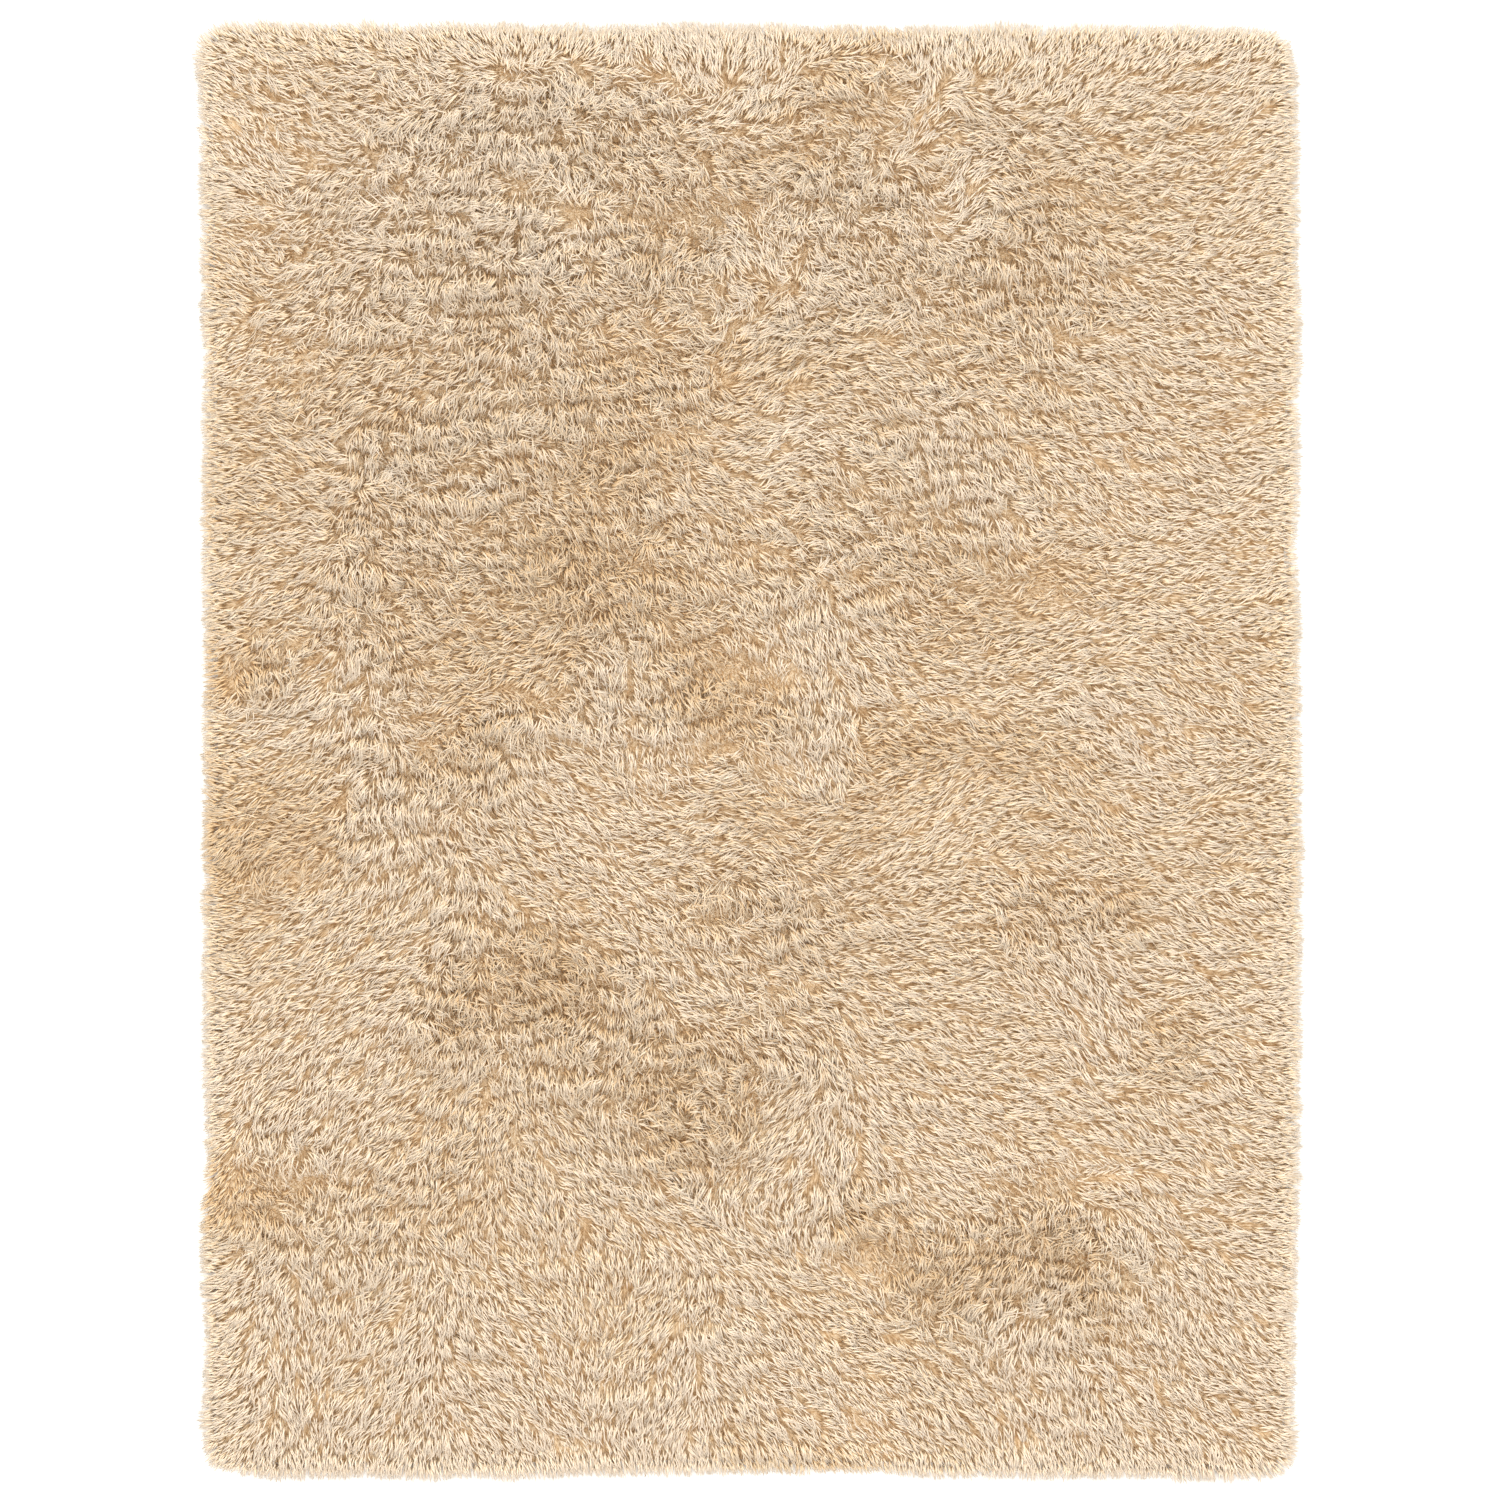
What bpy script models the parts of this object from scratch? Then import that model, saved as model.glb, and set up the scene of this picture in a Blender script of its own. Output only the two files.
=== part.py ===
"""A shag rug lying flat on the floor, in one piece, with its origin under the middle of it.

The long pile is one lumpy slab: taller where the strands stand up, lower where they are combed
flat, crossed by rows of tufts and by a few deep partings. At the rim the pile falls over the edge
in tapered locks whose tips rest on the floor. +Y runs along the rug and +Z is up, in metres.
"""

import math
import random
from collections import namedtuple

import bmesh
import bpy
from mathutils import Vector, noise

# Driving dimensions
RUG_WIDTH = 1.60        # across, between the longest locks, before the rim wanders
RUG_LENGTH = 2.10       # along, in the same way
PILE_HEIGHT = 0.048     # the tallest tufts above the floor
PILE_MEAN = 0.0375      # the usual height of the pile
PILE_LOW = 0.022        # the floor of the deepest parting
CORNER_RADIUS = 0.045   # the slab's rounded corners, seen from above

# The rim, where the pile falls over the edge
RIM_HEIGHT = 0.024      # height of the slab's side wall, which the locks grow from
RIM_FALL = 0.058        # how far in from the wall the pile is rounded over
LOCK_REACH = 0.038      # from the wall to the longest lock's tip
LOCK_UNEVEN = 0.010     # a lock may be shorter than that by up to this
LOCK_SWAY = 0.008       # its tip turns left or right along the rim by up to this
LOCK_BELLY = 0.56       # the belly's place, as a share of the lock's length
LOCK_NARROW = 0.80      # the belly's width, as a share of the root's
LOCK_DROOP = 0.60       # the belly's height, as a share of the root's

# The grid that the top face is drawn with
CELLS_ACROSS = 50
CELLS_ALONG = 80
CELL_SHIFT = 0.24       # how far a point leaves its place in the grid, as a share of a cell

# The tufts: long lumps that lie across the rug like soft shingles, none of them quite straight
TUFT_ACROSS = 0.085     # a lump's usual width
TUFT_ALONG = 0.036      # and its usual depth, along the rug
TUFT_RISE = 0.0150      # the whole of its rise and fall
TUFT_BEND = 0.090       # how far the rows of lumps wander from straight lines
TUFT_BEND_SPAN = 0.42   # over what distance they wander
TUFT_ROUGH = 0.0030     # how far a single point stands above or below its neighbours

PILE_COLOUR = (0.665, 0.497, 0.332)
PILE_ROUGHNESS = 0.95
SEED = 21

# Where the pile stands up or lies flat: the middle and the reach of each patch, and its rise
Patch = namedtuple("Patch", "x y reach_x reach_y rise")
PATCHES = (
    Patch(-0.37, 0.75, 0.10, 0.22, 0.006),
    Patch(-0.22, 0.47, 0.10, 0.08, 0.008),
    Patch(-0.15, 0.22, 0.14, 0.10, 0.005),
    Patch(0.36, 0.68, 0.12, 0.07, 0.006),
    Patch(0.43, 0.22, 0.16, 0.07, 0.007),
    Patch(-0.07, 0.03, 0.07, 0.06, 0.006),
    Patch(-0.52, 0.10, 0.16, 0.06, 0.005),
    Patch(-0.72, 0.15, 0.05, 0.06, 0.005),
    Patch(-0.71, -0.16, 0.08, 0.06, 0.007),
    Patch(-0.30, -0.28, 0.15, 0.07, 0.008),
    Patch(0.12, -0.24, 0.18, 0.07, 0.006),
    Patch(0.48, -0.25, 0.07, 0.13, 0.007),
    Patch(0.58, -0.42, 0.07, 0.05, 0.008),
    Patch(-0.10, -0.54, 0.12, 0.07, 0.006),
    Patch(-0.68, -0.62, 0.09, 0.05, 0.008),
    Patch(0.25, -0.70, 0.12, 0.05, 0.008),
    Patch(0.45, -0.71, 0.10, 0.12, 0.008),
    Patch(-0.74, 0.89, 0.06, 0.07, -0.008),
    Patch(0.29, 0.79, 0.08, 0.04, -0.007),
    Patch(0.10, 0.44, 0.12, 0.06, -0.004),
    Patch(0.23, 0.39, 0.08, 0.10, -0.006),
    Patch(0.09, 0.07, 0.06, 0.14, -0.008),
    Patch(0.52, 0.02, 0.09, 0.06, -0.007),
    Patch(-0.50, -0.10, 0.07, 0.08, -0.007),
    Patch(-0.36, -0.16, 0.10, 0.07, -0.007),
    Patch(-0.55, -0.38, 0.13, 0.05, -0.006),
    Patch(0.49, -0.38, 0.05, 0.07, -0.009),
    Patch(0.68, -0.26, 0.08, 0.14, -0.004),
    Patch(-0.02, -0.70, 0.11, 0.11, -0.006),
    Patch(-0.66, -0.90, 0.08, 0.14, -0.008),
    Patch(-0.24, -0.88, 0.14, 0.12, -0.006),
    Patch(0.62, -0.90, 0.12, 0.08, -0.005),
)

# Deep partings between rows: the two ends of each, its width and its depth
Parting = namedtuple("Parting", "x_from y_from x_to y_to width depth")
PARTINGS = (
    Parting(-0.76, 0.87, -0.60, 0.89, 0.020, 0.007),
    Parting(-0.76, 0.74, -0.58, 0.76, 0.020, 0.006),
    Parting(-0.76, 0.59, -0.61, 0.60, 0.022, 0.007),
    Parting(-0.17, 0.78, 0.04, 0.79, 0.020, 0.009),
    Parting(0.10, 0.89, 0.28, 0.91, 0.020, 0.008),
    Parting(0.68, 0.48, 0.77, 0.51, 0.020, 0.009),
    Parting(0.68, 0.30, 0.76, 0.29, 0.024, 0.008),
    Parting(0.34, 0.26, 0.44, 0.23, 0.022, 0.010),
    Parting(-0.06, 0.13, 0.04, 0.12, 0.022, 0.012),
    Parting(-0.10, 0.02, -0.03, 0.02, 0.024, 0.010),
    Parting(-0.62, 0.13, -0.50, 0.08, 0.020, 0.007),
    Parting(-0.72, -0.20, -0.62, -0.17, 0.022, 0.008),
    Parting(0.11, -0.74, 0.22, -0.73, 0.020, 0.012),
    Parting(0.36, -0.63, 0.52, -0.60, 0.022, 0.010),
    Parting(0.14, -0.95, 0.18, -1.01, 0.020, 0.010),
    Parting(-0.74, -0.60, -0.64, -0.63, 0.022, 0.010),
)

# How the rim wanders: a place along a side, from left to right or from bottom to top, and how
# far the rim stands out there
Wave = namedtuple("Wave", "along out")
LEFT_RIM = (
    Wave(-1.00, -0.001),
    Wave(-0.84, -0.004),
    Wave(-0.68, 0.003),
    Wave(-0.58, -0.004),
    Wave(-0.22, 0.001),
    Wave(0.15, -0.002),
    Wave(0.58, 0.000),
    Wave(0.87, 0.004),
    Wave(1.02, 0.006),
)
RIGHT_RIM = (
    Wave(-0.99, -0.004),
    Wave(-0.92, -0.008),
    Wave(-0.64, 0.004),
    Wave(-0.52, -0.003),
    Wave(-0.15, 0.004),
    Wave(0.09, 0.002),
    Wave(0.32, -0.003),
    Wave(0.64, 0.005),
    Wave(0.70, -0.003),
    Wave(0.93, 0.001),
    Wave(1.02, -0.006),
)
BOTTOM_RIM = (
    Wave(-0.75, 0.002),
    Wave(-0.40, 0.002),
    Wave(-0.08, -0.004),
    Wave(0.07, -0.006),
    Wave(0.24, -0.001),
    Wave(0.65, 0.004),
)
TOP_RIM = (
    Wave(-0.66, 0.003),
    Wave(-0.22, -0.003),
    Wave(-0.08, 0.001),
    Wave(0.36, -0.003),
    Wave(0.60, -0.004),
    Wave(0.75, -0.007),
)

SLAB_HALF_WIDTH = RUG_WIDTH / 2 - LOCK_REACH
SLAB_HALF_LENGTH = RUG_LENGTH / 2 - LOCK_REACH


def clear_scene():
    """Removes every object, so that the file can be run again."""
    for old in list(bpy.data.objects):
        bpy.data.objects.remove(old, do_unlink=True)


def pile_material():
    """Warm beige fibre with no shine."""
    material = bpy.data.materials.new("beige_pile")
    material.use_nodes = True
    finish = material.node_tree.nodes["Principled BSDF"]
    finish.inputs["Base Color"].default_value = (*PILE_COLOUR, 1.0)
    finish.inputs["Roughness"].default_value = PILE_ROUGHNESS
    finish.inputs["Metallic"].default_value = 0.0
    return material


def rim_wave(rows, along):
    """How far the rim stands out at a place along a side, blended between the rows."""
    if along <= rows[0].along:
        return rows[0].out
    for before, after in zip(rows, rows[1:]):
        if along <= after.along:
            share = (along - before.along) / (after.along - before.along)
            ease = (1 - math.cos(math.pi * share)) / 2
            return before.out + (after.out - before.out) * ease
    return rows[-1].out


def round_corner(x, y):
    """Moves a point of the square-cornered slab to its place in the round-cornered one."""
    over_x = abs(x) - (SLAB_HALF_WIDTH - CORNER_RADIUS)
    over_y = abs(y) - (SLAB_HALF_LENGTH - CORNER_RADIUS)
    if over_x <= 0 or over_y <= 0:
        return x, y
    shrink = max(over_x, over_y) / math.hypot(over_x, over_y)
    x -= math.copysign(over_x * (1 - shrink), x)
    y -= math.copysign(over_y * (1 - shrink), y)
    return x, y


def bend_outline(x, y):
    """Shifts a point near the rim by the wave of its side, and leaves the middle where it is."""
    side = rim_wave(RIGHT_RIM if x > 0 else LEFT_RIM, y)
    end = rim_wave(TOP_RIM if y > 0 else BOTTOM_RIM, x)
    near_side = (abs(x) / SLAB_HALF_WIDTH) ** 12
    near_end = (abs(y) / SLAB_HALF_LENGTH) ** 12
    return x + math.copysign(side * near_side, x), y + math.copysign(end * near_end, y)


def patch_rise(x, y):
    """The rise of all upright and flattened patches at a point."""
    rise = 0.0
    for patch in PATCHES:
        apart = math.hypot((x - patch.x) / patch.reach_x, (y - patch.y) / patch.reach_y)
        rise += patch.rise * math.exp(-apart * apart)
    return rise


def parting_drop(x, y):
    """How far the partings lower the pile at a point."""
    drop = 0.0
    point = Vector((x, y))
    for parting in PARTINGS:
        start = Vector((parting.x_from, parting.y_from))
        run = Vector((parting.x_to, parting.y_to)) - start
        share = min(1.0, max(0.0, (point - start).dot(run) / run.length_squared))
        apart = (point - start - run * share).length / parting.width
        drop = max(drop, parting.depth * math.exp(-apart * apart))
    return drop


def tuft_rise(x, y):
    """The lumps of the tufts, in rows that wander."""
    place = Vector((x, y, 0.0)) / TUFT_BEND_SPAN
    bent_x = x + TUFT_BEND * noise.noise(place + Vector((0.0, 0.0, 3.5)))
    bent_y = y + TUFT_BEND * noise.noise(place + Vector((0.0, 0.0, 8.5)))
    return TUFT_RISE * noise.noise(Vector((bent_x / TUFT_ACROSS, bent_y / TUFT_ALONG, 0.5)))


def rim_rounding(x, y):
    """From 0 at the slab's wall to 1 where the pile is at its full height."""
    inside = min(SLAB_HALF_WIDTH - abs(x), SLAB_HALF_LENGTH - abs(y))
    share = min(1.0, max(0.0, inside / RIM_FALL))
    return math.sqrt(1 - (1 - share) ** 2)


def pile_top(x, y, roughness):
    """The height of the pile at a point of the square-cornered slab."""
    full = PILE_MEAN + patch_rise(x, y) + tuft_rise(x, y) - parting_drop(x, y) + roughness
    full = min(PILE_HEIGHT, max(PILE_LOW, full))
    return RIM_HEIGHT + (full - RIM_HEIGHT) * rim_rounding(x, y)


def lay_top_face(bm, rng):
    """A grid with every point a little out of its place, raised to the height of the pile."""
    bmesh.ops.create_grid(bm, x_segments=CELLS_ACROSS, y_segments=CELLS_ALONG, size=1.0)
    shift_x = CELL_SHIFT * 2 * SLAB_HALF_WIDTH / CELLS_ACROSS
    shift_y = CELL_SHIFT * 2 * SLAB_HALF_LENGTH / CELLS_ALONG
    for vert in bm.verts:
        x = vert.co.x * SLAB_HALF_WIDTH
        y = vert.co.y * SLAB_HALF_LENGTH
        if abs(x) < SLAB_HALF_WIDTH - CORNER_RADIUS:
            x += rng.uniform(-shift_x, shift_x)
        if abs(y) < SLAB_HALF_LENGTH - CORNER_RADIUS:
            y += rng.uniform(-shift_y, shift_y)
        height = pile_top(x, y, rng.uniform(-TUFT_ROUGH, TUFT_ROUGH))
        x, y = bend_outline(*round_corner(x, y))
        vert.co = (x, y, height)


def turn_round_middle(face):
    """Where a face lies round the rug's middle, as an angle."""
    place = face.calc_center_median()
    return math.atan2(place.y, place.x)


def drop_walls(bm):
    """The slab's side wall, one face below each tuft of the rim, and the flat underside."""
    rim = [edge for edge in bm.edges if edge.is_boundary]
    dropped = bmesh.ops.extrude_edge_only(bm, edges=rim)["geom"]
    for vert in dropped:
        if isinstance(vert, bmesh.types.BMVert):
            vert.co.z = 0.0
    walls = [face for face in dropped if isinstance(face, bmesh.types.BMFace)]
    walls.sort(key=turn_round_middle)
    bmesh.ops.contextual_create(bm, geom=[edge for edge in bm.edges if edge.is_boundary])
    bmesh.ops.recalc_face_normals(bm, faces=bm.faces)
    return walls


def grow_lock(bm, wall, rng):
    """Draws one face of the wall out into a lock: a wide belly, then a tip that lies on the floor."""
    outward = Vector((wall.normal.x, wall.normal.y, 0.0)).normalized()
    sideways = Vector((-outward.y, outward.x, 0.0))
    reach = LOCK_REACH + rng.uniform(-LOCK_UNEVEN, 0)
    sway = rng.uniform(-LOCK_SWAY, LOCK_SWAY)
    root = wall.calc_center_median()
    belly = bmesh.ops.extrude_discrete_faces(bm, faces=[wall])["faces"][0]
    for vert in belly.verts:
        across = (vert.co - root).dot(sideways)
        vert.co -= sideways * across * (1 - LOCK_NARROW)
        vert.co += outward * reach * LOCK_BELLY + sideways * sway * LOCK_BELLY / 2
        vert.co.z *= LOCK_DROOP
    tip = bmesh.ops.extrude_discrete_faces(bm, faces=[belly])["faces"][0]
    tip_place = root + outward * reach + sideways * sway
    tip_place.z = 0.0
    bmesh.ops.pointmerge(bm, verts=tip.verts, merge_co=tip_place)


def centre_on_origin(bm):
    """Puts the origin under the middle of the rug's box."""
    low = Vector((min(vert.co[axis] for vert in bm.verts) for axis in range(3)))
    high = Vector((max(vert.co[axis] for vert in bm.verts) for axis in range(3)))
    middle = (low + high) / 2
    bmesh.ops.translate(bm, verts=bm.verts, vec=(-middle.x, -middle.y, 0.0))


def make_rug():
    """The whole rug as one closed piece."""
    rng = random.Random(SEED)
    bm = bmesh.new()
    lay_top_face(bm, rng)
    for wall in drop_walls(bm):
        grow_lock(bm, wall, rng)
    centre_on_origin(bm)
    bmesh.ops.recalc_face_normals(bm, faces=bm.faces)
    mesh = bpy.data.meshes.new("shag_rug")
    bm.to_mesh(mesh)
    bm.free()
    mesh.shade_smooth()
    mesh.materials.append(pile_material())
    rug = bpy.data.objects.new("shag_rug", mesh)
    bpy.context.scene.collection.objects.link(rug)
    return rug


clear_scene()
make_rug()
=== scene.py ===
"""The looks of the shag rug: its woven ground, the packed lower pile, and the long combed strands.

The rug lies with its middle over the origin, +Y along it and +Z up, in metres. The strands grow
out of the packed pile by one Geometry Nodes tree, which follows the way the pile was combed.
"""

import math
from collections import namedtuple

import bpy
import numpy as np
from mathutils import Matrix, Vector, noise


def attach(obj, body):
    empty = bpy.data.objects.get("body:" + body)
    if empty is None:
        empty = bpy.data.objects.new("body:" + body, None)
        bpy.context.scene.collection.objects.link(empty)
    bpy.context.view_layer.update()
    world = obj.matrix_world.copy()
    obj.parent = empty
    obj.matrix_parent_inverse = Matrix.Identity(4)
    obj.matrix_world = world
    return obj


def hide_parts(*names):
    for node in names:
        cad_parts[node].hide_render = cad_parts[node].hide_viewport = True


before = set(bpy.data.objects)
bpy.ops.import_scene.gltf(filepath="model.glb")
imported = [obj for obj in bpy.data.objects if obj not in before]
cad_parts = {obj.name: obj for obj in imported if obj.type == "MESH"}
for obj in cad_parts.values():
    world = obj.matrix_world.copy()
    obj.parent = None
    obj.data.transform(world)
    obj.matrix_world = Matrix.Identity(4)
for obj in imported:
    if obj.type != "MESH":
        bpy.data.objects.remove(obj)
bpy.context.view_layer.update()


# ---------------------------------------------------------------------------------------------
# The studio: a white floor, one wide soft light from the rug's top end and an even warm fill,
# and a camera straight above the rug, with the rug as large in its frame as in the photograph.

FLOOR_REACH = 30.0
FLOOR_WHITE = (0.92, 0.92, 0.92, 1.0)
FLOOR_ROUGHNESS = 0.9
CAMERA_HEIGHT = 8.0
FRAME_WIDTH = 2.1825        # what the camera sees across, on the floor
FRAME_MIDDLE = (-0.003, 0.001)
SENSOR = 36.0
LIGHT_FROM = (0.3, 2.6, 3.6)
LIGHT_SPREAD = math.radians(50.0)
LIGHT_STRENGTH = 0.63
LIGHT_COLOUR = (0.87, 0.965, 1.0)
FILL_STRENGTH = 1.58
FILL_COLOUR = (1.0, 0.956, 0.893, 1.0)

floor_mesh = bpy.data.meshes.new("studio_floor")
floor_mesh.from_pydata(
    [(x * FLOOR_REACH, y * FLOOR_REACH, 0.0) for x, y in ((-1, -1), (1, -1), (1, 1), (-1, 1))],
    [],
    [(0, 1, 2, 3)],
)
floor = bpy.data.objects.new("studio_floor", floor_mesh)
bpy.context.scene.collection.objects.link(floor)
floor_paint = bpy.data.materials.new("white_floor")
floor_paint.use_nodes = True
floor_finish = floor_paint.node_tree.nodes["Principled BSDF"]
floor_finish.inputs["Base Color"].default_value = FLOOR_WHITE
floor_finish.inputs["Roughness"].default_value = FLOOR_ROUGHNESS
floor_finish.inputs["Specular IOR Level"].default_value = 0.0
floor_mesh.materials.append(floor_paint)

world = bpy.data.worlds.new("white_fill")
bpy.context.scene.world = world
world.use_nodes = True
fill = world.node_tree.nodes["Background"]
fill.inputs["Color"].default_value = FILL_COLOUR
fill.inputs["Strength"].default_value = FILL_STRENGTH

lamp = bpy.data.lights.new("soft_light_top_end", "SUN")
lamp.energy = LIGHT_STRENGTH
lamp.angle = LIGHT_SPREAD
lamp.color = LIGHT_COLOUR
holder = bpy.data.objects.new("soft_light_top_end", lamp)
holder.location = LIGHT_FROM
holder.rotation_mode = "QUATERNION"
holder.rotation_quaternion = Vector(LIGHT_FROM).to_track_quat("Z", "Y")
bpy.context.scene.collection.objects.link(holder)

camera_data = bpy.data.cameras.new("camera_above")
camera_data.sensor_width = SENSOR
camera_data.lens = SENSOR * CAMERA_HEIGHT / FRAME_WIDTH
camera = bpy.data.objects.new("camera_above", camera_data)
camera.location = (*FRAME_MIDDLE, CAMERA_HEIGHT)
bpy.context.scene.collection.objects.link(camera)
bpy.context.scene.camera = camera
bpy.context.scene.view_settings.view_transform = "Standard"


# ---------------------------------------------------------------------------------------------
# The ground cloth: the woven polyester cloth that the pile is tufted through, cut to a rectangle
# with round corners. It lies flat on the floor and shows only from below.

CLOTH_WIDTH = 1.536
CLOTH_LENGTH = 2.046
CLOTH_THICK = 0.002
CORNER_RADIUS = 0.023
CORNER_STEPS = 8
HALF_WIDTH = CLOTH_WIDTH / 2
HALF_LENGTH = CLOTH_LENGTH / 2
YARN_PITCH = 0.0016
YARN_RELIEF = 0.0004
SLACK_OFTEN = 60.0          # how often, in a metre, the yarns go slack
CLOTH_SHINE = 0.10
CLOTH_COLOURS = (
    (0.15, (0.16, 0.11, 0.07)),
    (0.55, (0.42, 0.31, 0.20)),
    (0.95, (0.60, 0.47, 0.33)),
)


class Field:
    """A number that nodes work out: sums and products of fields add the Math nodes for them."""

    def __init__(self, tree, socket):
        self.tree = tree
        self.socket = socket

    def step(self, operation, *others):
        node = self.tree.nodes.new("ShaderNodeMath")
        node.operation = operation
        for entry, value in zip(node.inputs, (self, *others)):
            feed(self.tree, entry, value)
        return Field(self.tree, node.outputs[0])

    def __add__(self, other):
        return self.step("ADD", other)

    def __sub__(self, other):
        return self.step("SUBTRACT", other)

    def __mul__(self, other):
        return self.step("MULTIPLY", other)

    def __truediv__(self, other):
        return self.step("DIVIDE", other)

    def __pow__(self, other):
        return self.step("POWER", other)

    def rest(self):
        """What is left of one."""
        return self * -1.0 + 1.0

    def between(self, low, high):
        """The number, held between two others."""
        return self.step("MAXIMUM", low).step("MINIMUM", high)


def feed(tree, entry, value):
    """Links a node's input to a field or an output, or sets it to a plain value."""
    if isinstance(value, Field):
        tree.links.new(value.socket, entry)
    elif isinstance(value, bpy.types.NodeSocket):
        tree.links.new(value, entry)
    else:
        entry.default_value = value


def add_node(tree, kind, entries, **settings):
    """A new node with its settings made and its inputs, by name or by number, fed."""
    node = tree.nodes.new(kind)
    for name, value in settings.items():
        setattr(node, name, value)
    for entry, value in entries.items():
        feed(tree, node.inputs[entry], value)
    return node


def split_up(tree, vector):
    """The three numbers of a vector."""
    node = add_node(tree, "ShaderNodeSeparateXYZ", {"Vector": vector})
    return [Field(tree, output) for output in node.outputs]


def speckle(tree, place, often, detail, distortion=0.0, output="Fac"):
    """A noise pattern at the place given, so many times a unit."""
    entries = {"Vector": place, "Scale": often, "Detail": detail, "Distortion": distortion}
    return Field(tree, add_node(tree, "ShaderNodeTexNoise", entries).outputs[output])


def plain_material(name, shine):
    """A material with only its shine set, and its tree and shader node."""
    material = bpy.data.materials.new(name)
    material.use_nodes = True
    shader = material.node_tree.nodes["Principled BSDF"]
    shader.inputs["Specular IOR Level"].default_value = shine
    return material, material.node_tree, shader


def colour_ramp(tree, factor, stops):
    """A ramp through the colours at the places given, and its colour output."""
    node = add_node(tree, "ShaderNodeValToRGB", {"Fac": factor})
    ramp = node.color_ramp
    while len(ramp.elements) < len(stops):
        ramp.elements.new(0.5)
    for element, (place, colour) in zip(ramp.elements, stops):
        element.position = place
        element.color = (*colour, 1.0)
    return node.outputs["Color"]


def raise_bump(tree, shader, height, distance, strength):
    """Bump on a material, from a height over the distance given."""
    entries = {"Height": height, "Distance": distance, "Strength": strength}
    bump = add_node(tree, "ShaderNodeBump", entries)
    feed(tree, shader.inputs["Normal"], bump.outputs["Normal"])


def round_cornered(half_width, half_length, radius):
    """The points of a round-cornered rectangle, once round from the right side."""
    points = []
    for corner, (side_x, side_y) in enumerate(((1, 1), (-1, 1), (-1, -1), (1, -1))):
        for step in range(CORNER_STEPS + 1):
            turn = math.pi / 2 * (corner + step / CORNER_STEPS)
            x = side_x * (half_width - radius) + radius * math.cos(turn)
            y = side_y * (half_length - radius) + radius * math.sin(turn)
            points.append((x, y))
    return points


def closed_slab(name, points, faces, edge, low_edge):
    """A mesh of the upper faces, the sides between the two edges, and one face underneath."""
    onward = edge[1:] + edge[:1]
    low_onward = low_edge[1:] + low_edge[:1]
    sides = list(zip(onward, edge, low_edge, low_onward))
    mesh = bpy.data.meshes.new(name)
    mesh.from_pydata(points, [], [*faces, *sides, low_edge[::-1]])
    return mesh


def cloth_mesh():
    """The closed, thin slab of the ground cloth."""
    rim = round_cornered(HALF_WIDTH, HALF_LENGTH, CORNER_RADIUS)
    points = [(x, y, height) for height in (CLOTH_THICK, 0.0) for x, y in rim]
    edge = list(range(len(rim)))
    return closed_slab("ground_cloth", points, [edge], edge, [len(rim) + place for place in edge])


def ground_weave():
    """Plain weave of flat beige yarns, with a slack yarn here and there, and painted shade between
    the yarns.
    """
    material, tree, shader = plain_material("woven_ground", CLOTH_SHINE)
    place = add_node(tree, "ShaderNodeTexCoord", {}).outputs["Object"]
    across, along = [way * (math.pi / YARN_PITCH) for way in split_up(tree, place)[:2]]
    over = across.step("SINE").step("ABSOLUTE")
    under = along.step("SINE").step("ABSOLUTE")
    turn = (across / math.pi).step("FLOOR") + (along / math.pi).step("FLOOR")
    checker = (turn * 0.5).step("FRACT") * 2.0
    relief = over * checker + under * checker.rest()
    slack = speckle(tree, place, SLACK_OFTEN, 3.0)
    # The colour darkens where the relief is low: painted shade in the gaps between the yarns
    colour = colour_ramp(tree, relief * 0.6 + slack * 0.5, CLOTH_COLOURS)
    feed(tree, shader.inputs["Base Color"], colour)
    feed(tree, shader.inputs["Roughness"], slack * 0.2 + 0.75)
    raise_bump(tree, shader, relief, YARN_RELIEF, 0.8)
    return material


ground_cloth = bpy.data.objects.new("ground_cloth", cloth_mesh())
bpy.context.scene.collection.objects.link(ground_cloth)
ground_cloth.data.materials.append(ground_weave())
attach(ground_cloth, "root")


# ---------------------------------------------------------------------------------------------
# The packed pile, made in place of the imported rug: the lower half of the tufted pile, where the
# strands stand so close that they can't be told apart. It is lumpy as the pile is, and carries the
# marks of how it was combed.

CELL = 0.0135               # the side of one cell of its top
PACKED_SHARE = 0.42         # its height as a share of the pile's, where the pile stands
LAID_SHARE = 0.11           # and more than that where it's laid flat
CLOTH_BITE = 0.75           # how far up in the cloth its underside is, so that no gap shows
PILE_MEAN = 0.0375
UPRIGHT_RISE = 0.006        # how far upright pile stands above the mean, and flat pile below it
RIM_HEIGHT = 0.020
RIM_FALL = 0.058
RIM_POWER = 12              # how fast the rim's wandering dies away inward
TUFT_ACROSS = 0.062
TUFT_ALONG = 0.0175
TUFT_RISE = 0.0130
TUFT_BEND = 0.090
TUFT_BEND_SPAN = 0.42
TUFT_BEND_LAYERS = (3.5, 8.5)
CREST_PULL = 0.00020        # how far the tips gather toward the crests of the tufts
CREST_STEP = 0.004
SPREAD_STEP = 0.008         # where strands lie away from each other they stand closer and steeper
SPREAD_REACH = 0.024
SPREAD_LIMITS = (-0.35, 1.0)
SPREAD_STANDS = 0.35
WANDER_SPAN = 0.075
WANDER_TURN = 0.35
FINER_WANDER = 2.3          # a finer wandering over it, so many times as often
FINER_TURN = 0.6            # and this share as strong
OUTWARD_FROM = 0.050        # the strands start to turn outward this far from the rim
OUTWARD_SIDES = (1.1, 0.9)  # how much, at the right and the left side
OUTWARD_ENDS = (0.55, 0.9)  # and at the top and the bottom end
OUTWARD_SHARE = 0.55        # and how much of the combing that takes away at the rim
RIM_LEAN = 0.85
TOP_LEAN = 0.55
NO_STROKE = 0.04            # where no stroke reaches, the pile lies outward with this weight
SIDE_LEAN = 0.6             # and this flat
AGREED = 1.1                # it stands up again where strokes of different headings meet
NAP = 0.5                   # how strongly pile left standing nods toward the bottom end
NAP_FROM = 0.14             # and how far from the top end it does so in full
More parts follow.
